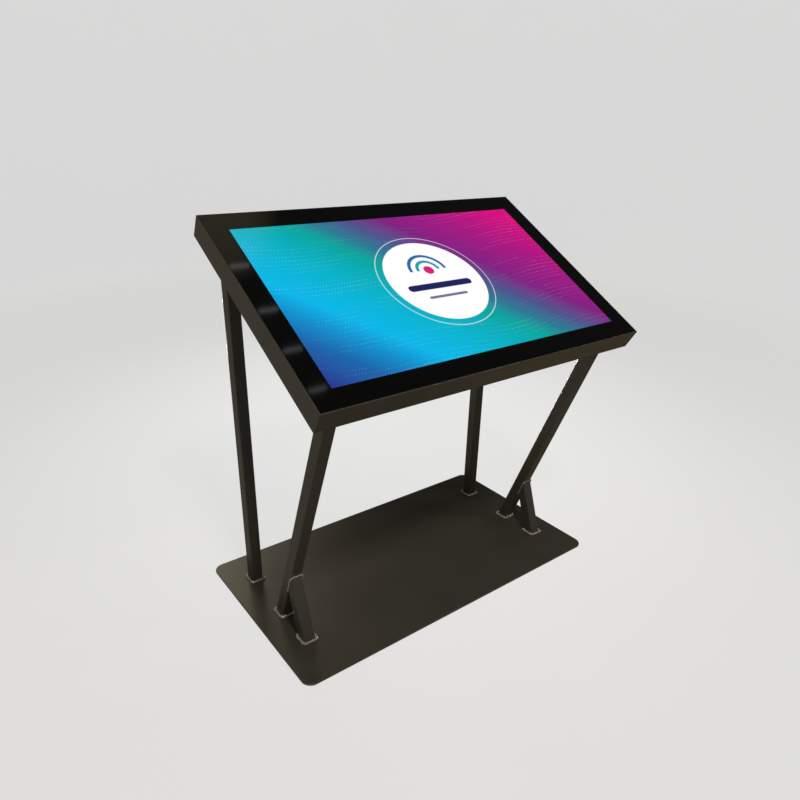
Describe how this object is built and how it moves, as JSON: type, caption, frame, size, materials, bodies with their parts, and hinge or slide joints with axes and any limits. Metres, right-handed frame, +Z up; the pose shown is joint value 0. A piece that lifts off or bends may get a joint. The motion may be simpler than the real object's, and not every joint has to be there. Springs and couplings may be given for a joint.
{
  "type": "touchscreen kiosk",
  "caption": "Free-standing touchscreen lectern kiosk: sloping display head on a welded square-tube stand with a flat base plate.",
  "frame": {"origin": "on the floor under the middle of the kiosk's outer box", "axes": "+X to the user's right, +Y away from the user, +Z up"},
  "size_m": [1.1, 0.6866, 1.1146],
  "materials": {
    "powder_coat": "satin black powder coat",
    "weld_coat": "powder coated weld bead",
    "panel_coat": "satin black powder coat on sheet",
    "cover_glass": "clear cover glass with a black printed border",
    "foam_tape": "matt black foam",
    "pad_rubber": "matt rubber",
    "zinc_steel": "bright zinc plate",
    "black_screw": "black oxide",
    "tray_steel": "galvanised sheet",
    "lcd_black": "polarised display cell",
    "acrylic": "clear acrylic with white dots",
    "case_aluminium": "black anodised",
    "supply_steel": "perforated aluminium",
    "board_green": "green solder mask",
    "lead_black": "black cable jacket",
    "clip_nylon": "natural nylon",
    "fan_plastic": "matt black",
    "rotor_plastic": "matt dark grey",
    "speaker_plastic": "matt black",
    "inlet_plastic": "black with bright pins",
    "rocker_plastic": "gloss black",
    "button_metal": "turned steel",
    "socket_plastic": "black with gilt contacts",
    "hinge_steel": "brushed steel",
    "lock_chrome": "polished plate"
  },
  "bodies": {
    "stand": {"backlight_tray": "tray_steel", "bar_welds": "weld_coat", "base_plate": "powder_coat", "brace_welds": "weld_coat", "display_board": "board_green", "display_rail_left": "tray_steel", "display_rail_right": "tray_steel", "equipment_plate": "tray_steel", "fan_frame_left": "fan_plastic", "fan_frame_right": "fan_plastic", "fan_screws": "black_screw", "floor_pads": "pad_rubber", "foot_welds": "weld_coat", "frame_bolts": "zinc_steel", "frame_nuts": "zinc_steel", "frame_washers": "zinc_steel", "front_brace_left": "powder_coat", "front_brace_right": "powder_coat", "front_leg_left": "powder_coat", "front_leg_right": "powder_coat", "glass_tape": "foam_tape", "hinge_leaf_panel": "hinge_steel", "hinge_pin": "hinge_steel", "housing_frame": "panel_coat", "lcd_cell": "lcd_black", "lead_clips": "clip_nylon", "light_guide": "acrylic", "mains_inlet": "inlet_plastic", "mains_lead": "lead_black", "mini_pc": "case_aluminium", "mounting_bar_left": "powder_coat", "mounting_bar_right": "powder_coat", "network_socket": "socket_plastic", "power_supply": "supply_steel", "rear_leg_left": "powder_coat", "rear_leg_right": "powder_coat", "rear_panel": "panel_coat", "rear_panel_screws": "black_screw", "speaker_left": "speaker_plastic", "speaker_right": "speaker_plastic", "stiffener_left": "tray_steel", "stiffener_right": "tray_steel", "supply_lead": "lead_black", "touch_board": "board_green", "touch_glass": "cover_glass", "touch_lead": "lead_black", "video_lead": "lead_black"},
    "fan_left": {"fan_rotor_left": "rotor_plastic"},
    "fan_right": {"fan_rotor_right": "rotor_plastic"},
    "rocker": {"rocker_switch": "rocker_plastic"},
    "button": {"power_button": "button_metal"},
    "door": {"service_door": "panel_coat", "hinge_leaf_door": "hinge_steel", "lock_body": "lock_chrome", "lock_nut": "zinc_steel"},
    "lock": {"lock_plug": "lock_chrome", "lock_cam": "zinc_steel"}
  },
  "joints": [
    {"name": "door_swing", "type": "hinge", "parent": "stand", "child": "door", "pos_m": [0, 0.07944, 0.96144], "axis": [1, 0, 0], "range_deg": [0, 95]},
    {"name": "lock_turn", "type": "hinge", "parent": "door", "child": "lock", "pos_m": [0, -0.1503, 0.82937], "axis": [0, -0.5, 0.866], "range_deg": [-90, 0]},
    {"name": "fan_left_spin", "type": "hinge", "parent": "stand", "child": "fan_left", "pos_m": [-0.3, 0.08603, 0.98603], "axis": [0, -0.5, 0.866], "continuous": true},
    {"name": "fan_right_spin", "type": "hinge", "parent": "stand", "child": "fan_right", "pos_m": [0.3, 0.08603, 0.98603], "axis": [0, -0.5, 0.866], "continuous": true},
    {"name": "rocker_tilt", "type": "hinge", "parent": "stand", "child": "rocker", "pos_m": [0.34, 0.19362, 1.02967], "axis": [1, 0, 0], "range_deg": [0, 16]},
    {"name": "button_press", "type": "slide", "parent": "stand", "child": "button", "axis": [0, -0.5, 0.866], "range_m": [0, 0.0012], "stiffness_N_per_m": 600, "springref_m": -0.0005}
  ]
}
